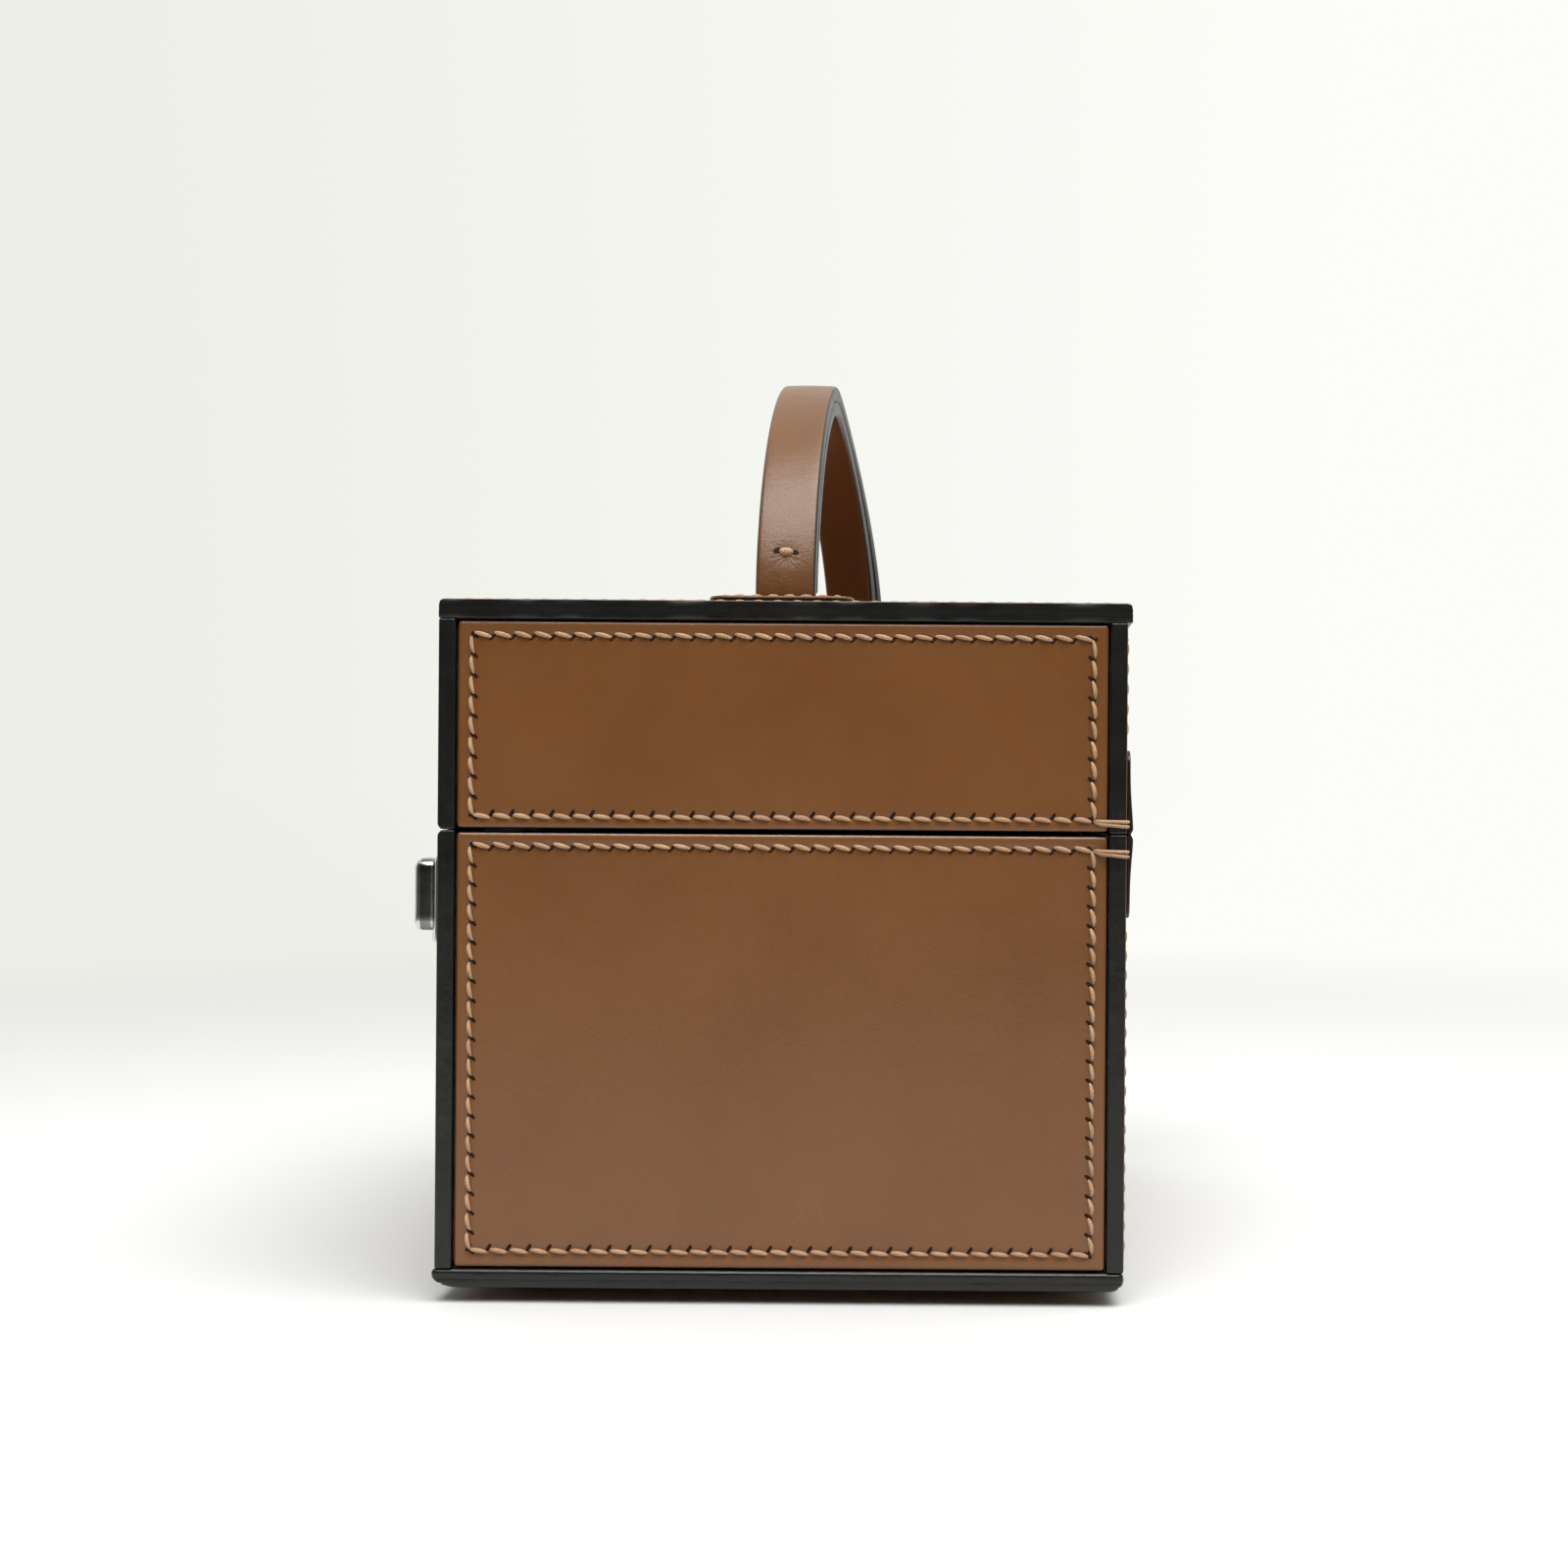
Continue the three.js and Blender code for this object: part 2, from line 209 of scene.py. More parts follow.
def smooth_leather(name, dark, mid, light, rough, scuffs=0.5, coat=0.12, shine=0.42, pinches=False):
    """Dyed calf: slow clouds of colour, fine pores, faint creases and a few hairline scuffs. With
    pinches, long creases along the strap and folds that run out from each short stitch as the sine of
    the angle about it, faded by exp(-(distance / reach)^2)."""
    p = Paint(name)
    at = p.at()
    clouds = p.noise(at, 22, 4)
    fine = p.noise(at, 900, 2)
    colour = p.ramp(clouds, [(0.30, dark), (0.52, mid), (0.75, light)])
    colour = p.blend(0.10, colour, p.ramp(fine, [(0.3, dark), (0.7, light)]))
    ridge = p.math("ABSOLUTE", p.math("SUBTRACT", p.noise(at, 14, 3, 0.5, 1.6), 0.5))
    hair = p.math("LESS_THAN", ridge, 0.0016)
    where = p.math("GREATER_THAN", p.noise(at, 30, 2), 0.56)
    scuff = p.math("MULTIPLY", p.math("MULTIPLY", hair, where), 0.30 * scuffs)
    colour = p.blend(scuff, colour, tuple(min(1.0, 1.6 * c + 0.02) for c in light))
    pores = p.cells(at, 1700)
    wrinkle = p.noise(at, 420, 4, 0.6, 0.4)
    normal = p.bump(pores, 0.00006, 0.5)
    normal = p.bump(wrinkle, 0.00012, 0.45, normal)
    normal = p.bump(p.noise(at, 60, 2), 0.0004, 0.25, normal)
    if pinches:
        creases = p.noise(p.stretched(at, (330, 90, 330)), 1.0, 4, 0.6, 0.5)
        normal = p.bump(creases, 0.00016, 0.5, normal)
    for sign in (1, -1) if pinches else ():
        offset = p.vector("SUBTRACT", at)
        offset.inputs[1].default_value = [v * MM for v in pinch_point(sign)]
        reach = p.vector("LENGTH", offset.outputs[0])
        split = p.parts(offset.outputs[0])
        turn = p.math("ARCTAN2", split["Z"], split["Y"])
        stir = p.math("MULTIPLY", p.noise(at, 500, 2), 9.0)
        folds = p.math("SINE", p.math("ADD", p.math("MULTIPLY", turn, 13.0), stir))
        ratio = p.math("MULTIPLY", reach.outputs["Value"], 1 / (PINCH_REACH * MM))
        near = p.math("EXPONENT", p.math("MULTIPLY", p.math("MULTIPLY", ratio, ratio), -1.0))
        dent = p.math("SUBTRACT", p.math("MULTIPLY", folds, 0.14), p.math("MULTIPLY", near, 1.3))
        normal = p.bump(p.math("MULTIPLY", dent, near), 0.00022, 0.8, normal)
    gloss = p.spread(p.noise(at, 130, 3), rough - 0.07, rough + 0.09)
    return p.finish(colour, gloss, normal, Coat_Weight=coat, Coat_Roughness=0.34, Specular_IOR_Level=shine)


def painted_edge():
    """Edge paint in several coats: near black, softly lumpy, with the ghost of the layers under it."""
    p = Paint("painted_edge")
    at = p.at()
    lumps = p.noise(at, 260, 3, 0.5)
    black, soft_black = (0.0040, 0.0037, 0.0033), (0.0085, 0.0078, 0.0070)
    colour = p.ramp(p.noise(at, 70, 3), [(0.3, black), (0.7, soft_black)])
    dust = p.math("GREATER_THAN", p.noise(at, 1500, 2), 0.73)
    colour = p.blend(p.math("MULTIPLY", dust, 0.10), colour, (0.22, 0.20, 0.18))
    normal = p.bump(lumps, 0.00028, 0.7)
    normal = p.bump(p.noise(at, 1400, 2), 0.00003, 0.6, normal)
    gloss = p.spread(p.noise(at, 160, 3), 0.26, 0.44)
    return p.finish(colour, gloss, normal, Specular_IOR_Level=0.45)


def flesh_side():
    """The inside of the panels: short napped suede with mottled colour."""
    p = Paint("flesh_side")
    at = p.at()
    colour = p.ramp(p.noise(at, 45, 5, 0.65), [(0.3, (0.17, 0.105, 0.06)), (0.7, (0.30, 0.20, 0.12))])
    nap = p.ramp(p.noise(at, 2600, 2), [(0.3, (0.12, 0.07, 0.04)), (0.7, (0.42, 0.30, 0.2))])
    colour = p.blend(0.25, colour, nap)
    normal = p.bump(p.noise(at, 2200, 4, 0.7), 0.0002, 0.6)
    return p.finish(colour, 0.92, normal, Sheen_Weight=0.35, Sheen_Roughness=0.5)


def waxed_thread():
    """Waxed linen: two plies that wind along the stitch, read from the thread's own UV map."""
    p = Paint("waxed_thread")
    uv = p.at("UV")
    turn = p.add("ShaderNodeMapping")
    turn.inputs["Rotation"].default_value = (0, 0, math.radians(38))
    p.wire(uv, turn.inputs["Vector"])
    plies = p.add("ShaderNodeTexWave", wave_type="BANDS", bands_direction="X")
    plies.inputs["Scale"].default_value = 0.62
    plies.inputs["Distortion"].default_value = 1.2
    plies.inputs["Detail"].default_value = 2.0
    plies.inputs["Detail Scale"].default_value = 2.4
    p.wire(turn.outputs[0], plies.inputs["Vector"])
    at = p.at()
    fuzz = p.noise(at, 2400, 3)
    # The colour follows the ply bands, as the bump does: darker between the plies and lighter on their crests,
    # a painted shade and painted highlight; the fuzz adds random tone.
    tone = p.math("ADD", p.math("MULTIPLY", plies.outputs["Fac"], 0.6), p.math("MULTIPLY", fuzz, 0.4))
    between, strand, crest = (0.25, 0.12, 0.055), (0.49, 0.275, 0.14), (0.70, 0.44, 0.25)
    colour = p.ramp(tone, [(0.12, between), (0.42, strand), (0.8, crest)])
    wax = p.ramp(p.noise(at, 160, 2), [(0.35, (0.40, 0.22, 0.11)), (0.65, (0.72, 0.47, 0.27))])
    colour = p.blend(0.35, colour, wax)
    normal = p.bump(plies.outputs["Fac"], 0.00016, 0.8)
    normal = p.bump(fuzz, 0.00005, 0.5, normal)
    return p.finish(colour, 0.58, normal, Sheen_Weight=0.2, Sheen_Roughness=0.4)


def awl_hole_shade():
    """Painted shade for the awl slits: a dark brown that stands for the shade inside each slit."""
    p = Paint("awl_hole_shade")
    colour = p.ramp(p.noise(p.at(), 1500, 2), [(0.3, (0.012, 0.005, 0.003)), (0.7, (0.035, 0.015, 0.008))])
    return p.finish(colour, 0.8, None, Specular_IOR_Level=0.15)


def polished_metal(name, low, high):
    """Polished plate from a low to a high tone, with a faint haze and hairlines from use."""
    p = Paint(name)
    at = p.at()
    haze = p.noise(at, 90, 4)
    hair = p.noise(p.stretched(at, (60, 60, 2600)), 1.0, 2)
    colour = p.ramp(haze, [(0.35, low), (0.65, high)])
    mixed = p.math("ADD", p.math("MULTIPLY", haze, 0.6), p.math("MULTIPLY", hair, 0.4))
    gloss = p.spread(mixed, 0.08, 0.24)
    normal = p.bump(hair, 0.00001, 0.35)
    return p.finish(colour, gloss, normal, Metallic=1.0)


def dark_steel():
    """Blackened steel for the tongues behind the front wall."""
    p = Paint("dark_steel")
    colour = p.ramp(p.noise(p.at(), 220, 3), [(0.3, (0.010, 0.010, 0.011)), (0.7, (0.022, 0.022, 0.022))])
    return p.finish(colour, 0.5, None, Metallic=0.6)


def foot_rubber():
    """Matt black rubber with a fine moulded grain."""
    p = Paint("foot_rubber")
    at = p.at()
    colour = p.ramp(p.noise(at, 300, 3), [(0.3, (0.010, 0.010, 0.010)), (0.7, (0.024, 0.023, 0.022))])
    normal = p.bump(p.cells(at, 2300), 0.00006, 0.7)
    return p.finish(colour, 0.66, normal)


PANEL = smooth_leather("panel_leather", (0.170, 0.0620, 0.0156), (0.190, 0.0728, 0.0196),
                       (0.205, 0.0800, 0.0220), 0.31, coat=0.0, shine=0.55)
STRAP = smooth_leather("strap_leather", (0.122, 0.0475, 0.0115), (0.140, 0.0560, 0.0140),
                       (0.156, 0.0645, 0.017), 0.34, scuffs=0.2, coat=0.08, shine=0.38, pinches=True)
HINGE = smooth_leather("hinge_leather", (0.010, 0.009, 0.008), (0.015, 0.0135, 0.012),
                       (0.023, 0.020, 0.017), 0.46, scuffs=0.3)
EDGE = painted_edge()
FLESH = flesh_side()
TAN = waxed_thread()
# Dark brown for the slit lenses: painted shade inside the awl slits.
HOLE_SHADE = awl_hole_shade()
METAL = polished_metal("polished_metal", (0.66, 0.66, 0.63), (0.80, 0.80, 0.77))
# A dimmer copy of the polished metal for the slider's side walls: a painted dark reflection.
METAL_PAINTED_DARK_REFLECTION = polished_metal("metal_painted_dark_reflection", (0.19, 0.195, 0.18), (0.27, 0.275, 0.26))
STEEL = dark_steel()
RUBBER = foot_rubber()


# Meshes


def store(name, points, faces, materials, slots=None, uv=None):
    """Puts whole arrays into a mesh: points in millimetres, faces a list of integer arrays whose
    rows are corner numbers, slots one material number per face, uv one pair per point."""
    points = np.asarray(points, float).reshape(-1, 3) * MM
    counts = np.concatenate([np.full(len(f), f.shape[1]) for f in faces])
    corners = np.concatenate([f.ravel() for f in faces]).astype(np.int32)
    starts = np.concatenate([[0], np.cumsum(counts)[:-1]]).astype(np.int32)
    mesh = bpy.data.meshes.new(name)
    mesh.vertices.add(len(points))
    mesh.vertices.foreach_set("co", points.astype(np.float32).ravel())
    mesh.loops.add(len(corners))
    mesh.loops.foreach_set("vertex_index", corners)
    mesh.polygons.add(len(counts))
    mesh.polygons.foreach_set("loop_start", starts)
    for material in materials:
        mesh.materials.append(material)
    if slots is not None:
        mesh.polygons.foreach_set("material_index", np.asarray(slots, np.int32))
    mesh.polygons.foreach_set("use_smooth", np.ones(len(counts), bool))
    if uv is not None:
        layer = mesh.uv_layers.new(name="UVMap")
        layer.data.foreach_set("uv", np.asarray(uv, np.float32)[corners].ravel())
    mesh.update(calc_edges=True)
    mesh.validate()
    piece = bpy.data.objects.new(name, mesh)
    bpy.context.collection.objects.link(piece)
    return piece


def unit(ways):
    """Each row divided by its length."""
    return ways / np.maximum(np.linalg.norm(ways, axis=1, keepdims=True), 1e-9)


def length_along(path):
    """Length along a path of points, from its start to each of them."""
    return np.concatenate([[0], np.cumsum(np.linalg.norm(np.diff(path, axis=0), axis=1))])


def dress(piece, body, slot, *nodes):
    """Says which nodes a piece replaces and the body that it rides on. The slot is not used."""
    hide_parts(*nodes)
    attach(piece, body)


def ring_faces(rows, n):
    """Faces between following rings of n points each, four corners to a row."""
    i, j = np.meshgrid(np.arange(rows - 1), np.arange(n), indexing="ij")
    here, beside = i * n + j, i * n + (j + 1) % n
    return np.stack([here, beside, beside + n, here + n], -1).reshape(-1, 4)


def sewn(name, body, parts, material):
    """One piece of thread or of dark slit lenses, the painted shade in awl slits, from parts, each its points,
    its two arrays of faces and its
    UV pairs or None. Each part's corner numbers are raised by the points before it."""
    first = np.cumsum([0] + [len(points) for points, _, _ in parts])
    faces = [np.concatenate([pair[k] + start for (_, pair, _), start in zip(parts, first)]) for k in (0, 1)]
    uv = None if parts[0][2] is None else np.concatenate([pairs for _, _, pairs in parts])
    piece = store(name, np.concatenate([points for points, _, _ in parts]), faces, [material], uv=uv)
    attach(piece, body)


def edge_steps(low, high, radius, inside=()):
    """Places along one side of a box: rows at radius * (1 - tan of 45, 33, 22, 11 and 0 degrees) from
    each end, so that the rounded edge is cut in equal angles, and the given places between them."""
    arc = radius * (1 - np.tan(np.radians([45, 33, 22, 11, 0])))
    between = np.asarray(inside, float)
    between = between[(between > low + radius * 1.2) & (between < high - radius * 1.2)]
    return np.unique(np.round(np.concatenate([low + arc, between, high - arc]), 4))


def box_skin(steps, radius):
    """Skin of a box on a lattice of steps along X, Y and Z. Each point p of the six sides is pulled to
    the box shrunk by the radius, q = clip(p), and pushed out again: q + radius * (p - q) / |p - q|.
    Returns points, outward directions, lattice places, and per face its corners, axis and end."""
    n = [len(s) for s in steps]
    quads, axes, ends = [], [], []
    for axis in range(3):
        a, b = (axis + 1) % 3, (axis + 2) % 3
        ia, ib = np.meshgrid(np.arange(n[a]), np.arange(n[b]), indexing="ij")
        for end, row in ((0, 0), (1, n[axis] - 1)):
            index = np.zeros(ia.shape + (3,), int)
            index[..., axis], index[..., a], index[..., b] = row, ia, ib
            number = (index[..., 0] * n[1] + index[..., 1]) * n[2] + index[..., 2]
            quad = np.stack([number[:-1, :-1], number[1:, :-1], number[1:, 1:], number[:-1, 1:]], -1)
            quad = quad.reshape(-1, 4)
            quads.append(quad if end else quad[:, ::-1])
            axes.append(np.full(len(quad), axis))
            ends.append(np.full(len(quad), end))
    quads = np.concatenate(quads)
    used, inverse = np.unique(quads, return_inverse=True)
    quads = inverse.reshape(quads.shape)
    x, y, z = used // (n[1] * n[2]), used // n[2] % n[1], used % n[2]
    place = np.stack([steps[0][x], steps[1][y], steps[2][z]], -1)
    low = np.array([s[0] for s in steps]) + radius
    high = np.array([s[-1] for s in steps]) - radius
    core = np.clip(place, low, high)
    out = unit(place - core)
    return core + radius * out, out, place, quads, np.concatenate(axes), np.concatenate(ends)


def rounder(points, line, inward, radii):
    """Rounds one long edge of a slab: seen along X, the rectangle of the given sides at the edge line
    (y, z) becomes a quarter ellipse about its inner corner, d' = d * max(|d|) / length(d) with d in
    shares of the sides."""
    radii = np.array(radii, float)
    d = 1 - (points[:, 1:] - line) * inward / radii
    inside = (d > 0).all(axis=1)
    scale = d.max(axis=1) / np.maximum(np.linalg.norm(d, axis=1), 1e-9)
    moved = line + inward * radii * (1 - d * scale[:, None])
    points[:, 1:] = np.where(inside[:, None], moved, points[:, 1:])
    return points


def stitch_marks(length):
    """Where the holes of one row fall, from corner to corner: an even share of the row."""
    count = max(2, int(round(length / PITCH)))
    return np.linspace(0, length, count + 1)


def pressed(a, b, size, insets=EVEN_INSETS, seed=0.0):
    """Height of a panel's face at (a, b), measured from its lower left corner. Along each stitch row it
    sinks as a bell across the row, deepest at the holes where a cosine along the row peaks; a slow
    sum of sines keeps the middle from being dead flat; the margin outside the rows swells a little."""
    wide, tall = size
    top, bottom, left, right = insets
    level, upright = wide - left - right, tall - top - bottom
    gaps = [(b - bottom, a - left, level), (tall - top - b, a - left, level),
            (a - left, b - bottom, upright), (wide - right - a, b - bottom, upright)]
    height = np.zeros(np.broadcast(a, b).shape)
    for across, along, length in gaps:
        step = length / max(2, int(round(length / PITCH)))
        inside = np.clip((along + 1.2) / 1.2, 0, 1) * np.clip((length + 1.2 - along) / 1.2, 0, 1)
        bell = np.exp(-(across / 0.95) ** 2) * (0.62 + 0.38 * np.cos(2 * np.pi * along / step))
        height = np.minimum(height, -0.30 * bell * inside)
    edge = np.minimum(np.minimum(a, wide - a), np.minimum(b, tall - b))
    height += 0.08 * np.exp(-((edge - 1.8) / 1.0) ** 2)
    slow = (np.sin(a / 23 + seed) * np.sin(b / 17 + 1.3 * seed) + 0.6 * np.sin(a / 41 - b / 29 + seed))
    return height + 0.07 * slow * np.clip((edge - 6) / 14, 0, 1)


X, Y, Z = np.eye(3)  # the frame's three directions

# In-plane right and up of each outer face, seen from outside; their cross product points outward.
FACES = {"+X": ((0, 1, 0), (0, 0, 1)), "-X": ((0, -1, 0), (0, 0, 1)), "-Y": ((1, 0, 0), (0, 0, 1)),
         "+Y": ((-1, 0, 0), (0, 0, 1)), "+Z": ((0, 1, 0), (-1, 0, 0)), "-Z": ((0, 1, 0), (1, 0, 0))}


def face_frame(low, high, facing):
    """Lower left corner of a box's outer face as seen from outside, its two ways and its size."""
    right, up = np.array(FACES[facing])
    out = np.cross(right, up)
    corner = np.where(right + up > 0, low, high).astype(float)
    axis = int(np.argmax(np.abs(out)))
    corner[axis] = high[axis] if out[axis] > 0 else low[axis]
    size = (abs(np.dot(high - low, right)), abs(np.dot(high - low, up)))
    return corner, right, up, out, size


def panel(name, node, facing, body, radius, seed):
    """A leather panel over a CAD slab: a box skin whose outer face takes the height `pressed`, with a
    faint groove along the middle of its painted edges where two layers meet. The edge paint also covers
    a margin of the inner face, SEAM_LINE wide, and of the sole, SOLE_LINE wide."""
    low, high = span(node)
    if node in ("lid_front", "lid_back"):
        low[2] -= SEAM_SWELL
    if node in ("base_front", "base_back"):
        high[2] += SEAM_SWELL
    corner, right, up, out, size = face_frame(low, high, facing)
    insets = SEAM_INSETS.get(node.rsplit("_", 1)[0], EVEN_INSETS)
    top, bottom, left, right_inset = insets
    thin = int(np.argmax(np.abs(out)))
    margin = np.array([1.4, 1.9, 2.5, 3.0, 3.4, 3.8, 4.2, 4.6, 5.1, 5.9, 7.0])
    groove_rows = np.array([-0.7, -0.35, -0.12, 0.12, 0.35, 0.7])
    steps = []
    for axis in range(3):
        lo, hi = low[axis], high[axis]
        if axis == thin:
            middle = (lo + hi) / 2
            steps.append(edge_steps(lo, hi, radius, middle + groove_rows))
            continue
        before, after = (left, right_inset) if right[axis] else (bottom, top)
        if (right + up)[axis] < 0:
            before, after = after, before
        length = hi - lo - before - after
        count = PITCHES_CUT * max(2, int(round(length / PITCH)))
        marks = lo + before + length * np.arange(count + 1) / count
        marks = marks[(marks > lo + 7.6) & (marks < hi - 7.6)]
        steps.append(edge_steps(lo, hi, radius, np.concatenate([lo + margin, marks, hi - margin])))
    points, away, place, quads, axes, ends = box_skin(steps, radius)
    a = (place - corner) @ right
    b = (place - corner) @ up
    outer = np.abs((place - corner) @ out) < 1e-3
    edge = np.minimum(np.minimum(a, size[0] - a), np.minimum(b, size[1] - b))
    fade = np.clip(edge / 0.8, 0, 1)
    points = points + np.where(outer, pressed(a, b, size, insets, seed) * fade, 0)[:, None] * out
    depth = np.abs((place - corner) @ out)
    thick = high[thin] - low[thin]
    on_edge = (edge < 1e-3) & (depth > radius) & (depth < thick - radius)
    groove = -0.07 * np.exp(-((depth - thick / 2) / 0.2) ** 2)
    wave = 0.03 * np.sin((a + b) / 3.1 + seed) + 0.02 * np.sin((a + b) / 7.7)
    points = points + np.where(on_edge, groove + wave, 0)[:, None] * away
    for side, level, *radii in ROUNDED_EDGES.get(node, ()):
        y, inward_y = (low[1], 1) if side == "front" else (high[1], -1)
        z, inward_z = (low[2], 1) if level == "low" else (high[2], -1)
        points = rounder(points, np.array([y, z]), np.array([inward_y, inward_z]), radii)
    outer_end = 1 if out[thin] > 0 else 0
    nearest = edge[quads].min(axis=1)
    outer_slot = np.where(nearest < SOLE_LINE, 1, 0) if node == "base_bottom" else 0
    inner_slot = np.where(nearest < SEAM_LINE, 1, 2)
    slots = np.where(axes != thin, 1, np.where(ends == outer_end, outer_slot, inner_slot))
    piece = store(name, points, [quads], [PANEL, EDGE, FLESH], slots)
    dress(piece, body, "panel_leather", node)
    return corner, right, up, out, size, seed, insets


def sewing(starts, stops, normal, inner, slant, bulge, lift=0.0, thick=THREAD):
    """Stitches as short tubes of 9 rings of 7 points. Along u from hole to hole the middle line is
    start + (stop - start) * u, moved across the row by slant * (u - 1/2) * 2 - bulge * sin(pi u) and out of the
    leather by a half sine to the power 0.45 that begins and ends under the surface; the round has the radius
    thick * (0.28 + 0.72 * sin(pi u) ** 0.6), flattened to 0.8 across its height."""
    nu, nv = 9, 7
    count = len(starts)
    u = np.linspace(0, 1, nu)
    hump = np.sin(np.pi * u)
    jitter = np.sin(np.arange(count) * 12.9898 + starts[:, 0] * 3.1) * 0.5
    along = stops - starts
    length = np.linalg.norm(along, axis=1, keepdims=True)
    along = along / length
    side = unit(inner - (inner * along).sum(1, keepdims=True) * along)
    reach = 0.03 + 0.94 * u
    middle = starts[:, None] + along[:, None] * length[:, None] * reach[None, :, None]
    sway = (slant * (1 + 0.35 * jitter[:, None]) * (2 * u[None] - 1)
            + bulge * (1 + 0.4 * jitter[:, None]) * hump[None])
    middle = middle + side[:, None] * sway[..., None]
    rise = -0.45 + 0.72 * hump ** 0.45 + lift
    middle = middle + normal[:, None] * rise[None, :, None] * (1 + 0.06 * jitter[:, None, None])
    radius = thick * (0.28 + 0.72 * hump ** 0.6)[None] * (1 + 0.10 * jitter[:, None])
    angle = 2 * np.pi * (np.arange(nv) / nv) - np.pi / 2
    ring = (np.cos(angle)[None, None, :, None] * side[:, None, None]
            + 0.80 * np.sin(angle)[None, None, :, None] * normal[:, None, None])
    points = middle[:, :, None] + radius[..., None, None] * ring
    base = (np.arange(count) * nu * nv)[:, None]
    quad = ring_faces(nu, nv)[None] + base[..., None]
    first = base + np.arange(nv)[None, ::-1]
    last = base + (nu - 1) * nv + np.arange(nv)[None]
    flip = (np.cross(side, normal) * along).sum(1) < 0
    quad = np.where(flip[:, None, None], quad[..., ::-1], quad).reshape(-1, 4)
    caps = np.concatenate([np.where(flip[:, None], first[:, ::-1], first),
                           np.where(flip[:, None], last[:, ::-1], last)])
    uv = np.empty((count, nu, nv, 2))
    uv[..., 0] = (reach[None] * length)[..., None] + jitter[:, None, None] * 3
    uv[..., 1] = (np.arange(nv) / nv * 2 * np.pi * thick)[None, None]
    return points.reshape(-1, 3), [quad, caps], uv.reshape(-1, 2)


def slits(at, normal, way, long=1.16, wide=0.62, raise_by=0.085, height=None):
    """Dark lenses of painted shade for the awl slits: two rings of ten points at (long cos t, wide sin t) and
    at half that size, along and across `way`, and one point a little above the middle.
    height at a point, so that a lens lies in a dented face."""
    way = unit(way - (way * normal).sum(1, keepdims=True) * normal)
    cross = np.cross(normal, way)
    t = 2 * np.pi * np.arange(10) / 10
    ring = ((long * np.cos(t))[None, :, None] * way[:, None]
            + (wide * np.sin(t) * (0.85 + 0.15 * np.cos(2 * t)))[None, :, None] * cross[:, None])
    points = np.concatenate([at[:, None] + ring, at[:, None] + 0.5 * ring, at[:, None]], 1)
    lift = raise_by + np.concatenate([np.zeros(10), np.full(10, 0.03), [0.04]])[None]
    if height is not None:
        lift = lift + height(points)
    points = points + lift[..., None] * normal[:, None]
    base = (np.arange(len(at)) * 21)[:, None]
    k = np.arange(10)
    following = (k + 1) % 10
    band = np.stack([base + k, base + following, base + 10 + following, base + 10 + k], -1)
    middle = np.stack([base + 10 + k, base + 10 + following, np.broadcast_to(base + 20, (len(at), 10))], -1)
    return points.reshape(-1, 3), [band.reshape(-1, 4), middle.reshape(-1, 3)], None


def sew_panel(name, layout, body, keep=None, lift=0.0):
    """Four rows of stitches round a panel, parallel to its edges, with a dark slit lens of painted shade at
    each hole. Each row's holes share its length evenly; slits lean forward on level rows and back on upright
    ones. `keep` says which holes show."""
    corner, right, up, out, size, seed, insets = layout
    wide, tall = size
    top, bottom, left, right_inset = insets
    rows = [  # start corner, way along, way to the middle, slit lean, slant, bulge, slit offset
        ((left, tall - top), (1, 0), (0, -1), (1, 1), 0.50, -0.10, 0.50),
        ((left, bottom), (1, 0), (0, 1), (1, 1.5), -0.34, 0.20, 0.85),
        ((left, bottom), (0, 1), (1, 0), (-1, 0.8), -0.40, -0.22, 0.50),
        ((wide - right_inset, bottom), (0, 1), (-1, 0), (-1, 0.8), 0.40, -0.22, 0.50),
    ]
    threads, lenses = [], []

    def height(points):
        return pressed((points - corner) @ right, (points - corner) @ up, size, insets, seed)

    for start, way, inward, lean, slant, bulge, offset in rows:
        length = wide - left - right_inset if way[0] else tall - top - bottom
        marks = stitch_marks(length)
        a = start[0] + marks * way[0]
        b = start[1] + marks * way[1]
        hole = corner + a[:, None] * right + b[:, None] * up
        normal = np.broadcast_to(out.astype(float), hole.shape)
        inner = np.broadcast_to((inward[0] * right + inward[1] * up).astype(float), hole.shape)
        shown = np.ones(len(hole), bool) if keep is None else keep(hole)
        both = shown[:-1] & shown[1:]
        if not both.any():
            continue
        threads.append(sewing(hole[:-1][both], hole[1:][both], normal[:-1][both], inner[:-1][both],
                              slant, bulge, lift))
        tilt = (lean[0] * right + lean[1] * up) / math.hypot(*lean)
        seat = hole[shown] + offset * inner[shown]
        lean_way = np.broadcast_to(tilt, hole.shape)[shown]
        lenses.append(slits(seat, normal[shown], lean_way, height=height))
    sewn(name + "_thread", body, threads, TAN)
    sewn(name + "_hole_shade", body, lenses, HOLE_SHADE)


def round_outline(wide, tall, radius, per_corner=8, per_side=10):
    """Closed outline of a rounded rectangle about the origin, counter-clockwise: four quarter turns
    joined by sides cut in equal steps. Returns points and the outward direction at each."""
    spots, ways = [], []
    corners = np.array([[1, 1], [-1, 1], [-1, -1], [1, -1]])
    half = corners * np.array([wide / 2 - radius, tall / 2 - radius])
    turn = np.linspace(0, np.pi / 2, per_corner)
    for k in range(4):
        way = np.stack([np.cos(turn + k * np.pi / 2), np.sin(turn + k * np.pi / 2)], -1)
        arc = half[k] + radius * way
        spots.append(arc)
        ways.append(way)
        following = half[(k + 1) % 4] + radius * way[-1]
        share = (np.arange(1, per_side) / per_side)[:, None]
        spots.append(arc[-1] + (following - arc[-1]) * share)
        ways.append(np.broadcast_to(way[-1], (per_side - 1, 2)))
    return np.concatenate(spots), np.concatenate(ways)


